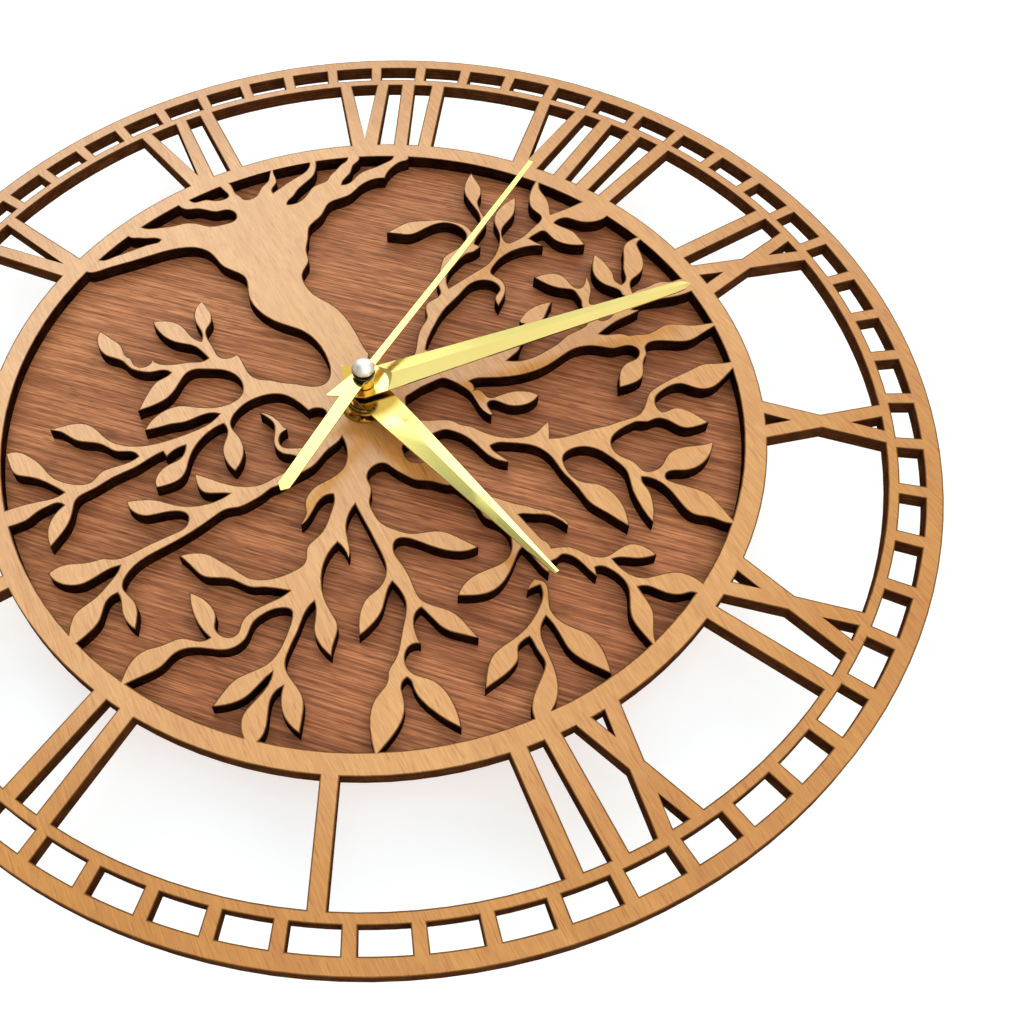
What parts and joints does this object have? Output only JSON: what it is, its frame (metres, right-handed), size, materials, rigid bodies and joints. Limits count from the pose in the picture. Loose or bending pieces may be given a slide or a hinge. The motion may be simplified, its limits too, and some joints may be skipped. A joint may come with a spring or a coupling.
{
  "type": "wall clock",
  "caption": "Round fretwork wall clock: pierced wooden face with Roman numerals and a tree over a walnut backing disc, quartz movement behind, three gold hands in front.",
  "frame": {"origin": "on the movement's back face, under the dial's centre", "axes": "+Z out of the face along the hand arbors, +Y towards XII, +X towards III"},
  "size_m": [0.35, 0.35, 0.0454],
  "materials": {
    "face_wood": "pale veneered plywood, laser-cut with burnt edges",
    "backing_wood": "streaky reddish-brown walnut veneer",
    "case_plastic": "fine-grained black moulding",
    "bush_brass": "turned",
    "washer_rubber": "matt",
    "nut_gold": "polished gold plating",
    "cell_jacket": "plain satin jacket",
    "contact_steel": "nickel-plated spring strip",
    "board": "glass-fibre laminate",
    "can_steel": "bright",
    "chip_resin": "potting resin",
    "stator_iron": "bare soft iron",
    "gear_plastic": "natural acetal",
    "winding_copper": "enamelled copper wire",
    "magnet": "sintered",
    "hand_gold": "pale lemon gold, lightly brushed",
    "cap_gold": "mirror-polished gold"
  },
  "bodies": {
    "clock_body": {"face_fretwork": "face_wood", "backing_disc": "backing_wood", "movement_case": "case_plastic", "rear_cover": "case_plastic", "threaded_bush": "bush_brass", "rubber_washer": "washer_rubber", "flange_nut": "nut_gold", "battery_cell": "cell_jacket", "negative_contact": "contact_steel", "positive_contact": "contact_steel", "circuit_board": "board", "quartz_crystal": "can_steel", "driver_chip": "chip_resin", "stator_plate": "stator_iron", "coil_core": "stator_iron", "coil_bobbin": "gear_plastic", "coil_winding": "winding_copper"},
    "minute": {"minute_hand": "hand_gold", "cannon_pinion": "bush_brass", "centre_wheel": "gear_plastic"},
    "hour": {"hour_hand": "hand_gold", "hour_wheel": "gear_plastic"},
    "second": {"second_hand": "hand_gold", "second_hand_cap": "cap_gold", "second_hand_boss": "cap_gold", "second_arbor": "can_steel", "second_wheel": "gear_plastic"},
    "third": {"third_wheel": "gear_plastic"},
    "intermediate": {"intermediate_wheel": "gear_plastic"},
    "rotor": {"rotor_pinion": "gear_plastic", "rotor_magnet": "magnet"},
    "motion": {"motion_wheel": "gear_plastic"},
    "knob": {"setting_knob": "case_plastic"}
  },
  "joints": [
    {"name": "minute_turn", "type": "hinge", "parent": "clock_body", "child": "minute", "pos_m": [0, 0, 0], "axis": [0, 0, -1], "continuous": true},
    {"name": "hour_turn", "type": "hinge", "parent": "clock_body", "child": "hour", "pos_m": [0, 0, 0], "axis": [0, 0, -1], "continuous": true},
    {"name": "second_turn", "type": "hinge", "parent": "clock_body", "child": "second", "pos_m": [0, 0, 0], "axis": [0, 0, -1], "continuous": true},
    {"name": "third_turn", "type": "hinge", "parent": "clock_body", "child": "third", "pos_m": [0.00781, 0.00656, 0], "axis": [0, 0, -1], "continuous": true},
    {"name": "intermediate_turn", "type": "hinge", "parent": "clock_body", "child": "intermediate", "pos_m": [-0.00188, 0.01064, 0], "axis": [0, 0, -1], "continuous": true},
    {"name": "rotor_turn", "type": "hinge", "parent": "clock_body", "child": "rotor", "pos_m": [0.00232, 0.01791, 0], "axis": [0, 0, -1], "continuous": true},
    {"name": "motion_turn", "type": "hinge", "parent": "clock_body", "child": "motion", "pos_m": [-0.00831, 0.0048, 0], "axis": [0, 0, -1], "continuous": true},
    {"name": "knob_turn", "type": "hinge", "parent": "clock_body", "child": "knob", "pos_m": [-0.01311, 0.01311, 0], "axis": [0, 0, -1], "continuous": true}
  ],
  "couplings": [
    {"joint": "hour_turn", "follows": "minute_turn", "ratio": 0.083333},
    {"joint": "second_turn", "follows": "minute_turn", "ratio": 60},
    {"joint": "third_turn", "follows": "minute_turn", "ratio": -7.5},
    {"joint": "intermediate_turn", "follows": "minute_turn", "ratio": -300},
    {"joint": "rotor_turn", "follows": "minute_turn", "ratio": 1800},
    {"joint": "motion_turn", "follows": "minute_turn", "ratio": -0.33333},
    {"joint": "knob_turn", "follows": "minute_turn", "ratio": 1}
  ]
}
